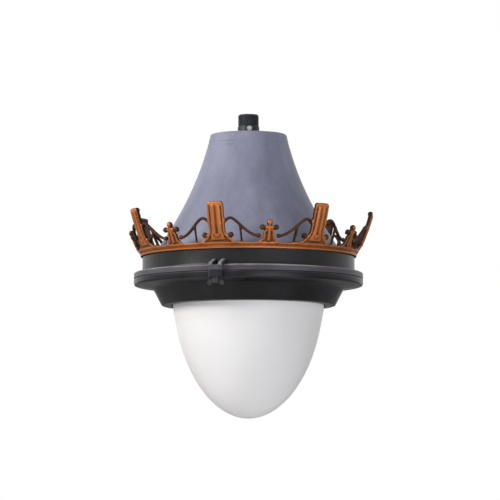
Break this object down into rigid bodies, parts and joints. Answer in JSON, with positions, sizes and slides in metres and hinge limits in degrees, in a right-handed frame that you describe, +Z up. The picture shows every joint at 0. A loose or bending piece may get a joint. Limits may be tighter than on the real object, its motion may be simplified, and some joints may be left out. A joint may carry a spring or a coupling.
{
  "type": "suspended street lantern",
  "caption": "Hanging street lantern: bell canopy on a threaded spigot, openwork coronet, body ring and a hinged frame with an opal bowl and wing-screw catch.",
  "frame": {"origin": "on the spigot's axis, at the shoulder on which the screwed spigot seats", "axes": "+Z up along the spigot; -Y is the front with the wing-screw catch, +Y the hinge"},
  "size_m": [0.4918, 0.4982, 0.6094],
  "materials": {
    "black_cast": "cast aluminium, blue-black paint, semi-gloss, chalky on top",
    "canopy_paint": "spun aluminium, weathered blue-grey paint",
    "copper_cast": "cast aluminium, weathered copper-orange finish with dark recesses",
    "opal_bowl": "opal acrylic, soft gloss",
    "zinc_steel": "zinc plated steel, dulled",
    "spring_steel": "stainless spring steel",
    "tray_steel": "galvanised sheet",
    "ballast_iron": "varnished laminations",
    "capacitor_can": "drawn can",
    "white_plastic": "moulded",
    "gland_nylon": "moulded nylon",
    "reflector_white": "white enamelled spun sheet",
    "porcelain": "glazed porcelain",
    "lamp_glass": "coated lamp glass, sealed",
    "seal_rubber": "moulded rubber",
    "seal_silicone": "grey silicone"
  },
  "bodies": {
    "root": {"spigot": "black_cast", "spigot_locknut": "black_cast", "spigot_lock_screw": "zinc_steel", "cable_gland": "gland_nylon", "canopy": "canopy_paint", "canopy_seal": "seal_rubber", "canopy_screws": "zinc_steel", "canopy_nuts": "zinc_steel", "body_ring": "black_cast", "coronet": "copper_cast", "coronet_screws": "zinc_steel", "gear_tray": "tray_steel", "tray_screws": "zinc_steel", "ballast": "ballast_iron", "ballast_screws": "zinc_steel", "capacitor": "capacitor_can", "capacitor_nut": "zinc_steel", "ignitor": "white_plastic", "terminal_block": "white_plastic", "gear_screws": "zinc_steel", "reflector": "reflector_white", "reflector_screws": "zinc_steel", "lampholder_bracket": "tray_steel", "bracket_screws": "zinc_steel", "lampholder": "porcelain", "lamp": "lamp_glass", "hinge_pin": "zinc_steel", "hinge_pin_clip": "zinc_steel"},
    "frame": {"bowl_frame": "black_cast", "frame_gasket": "seal_silicone", "bowl_seal": "seal_silicone", "bowl": "opal_bowl", "bowl_clips": "spring_steel", "clip_screws": "zinc_steel"},
    "washer": {"catch_washer": "zinc_steel"},
    "wing_screw": {"catch_screw": "zinc_steel"}
  },
  "joints": [
    {"name": "bowl_frame_hinge", "type": "hinge", "parent": "root", "child": "frame", "pos_m": [0, 0.24, -0.3072], "axis": [1, 0, 0], "range_deg": [0, 100]},
    {"name": "catch_drop", "type": "slide", "parent": "frame", "child": "washer", "axis": [0, 0, -1], "range_m": [0, 0.0052]},
    {"name": "catch_turn", "type": "hinge", "parent": "washer", "child": "wing_screw", "pos_m": [0, -0.238, -0.3225], "axis": [0, 0, -1], "range_deg": [0, 1440]}
  ],
  "couplings": [
    {"joint": "catch_drop", "follows": "catch_turn", "m_per_rad": 0.00019894}
  ]
}
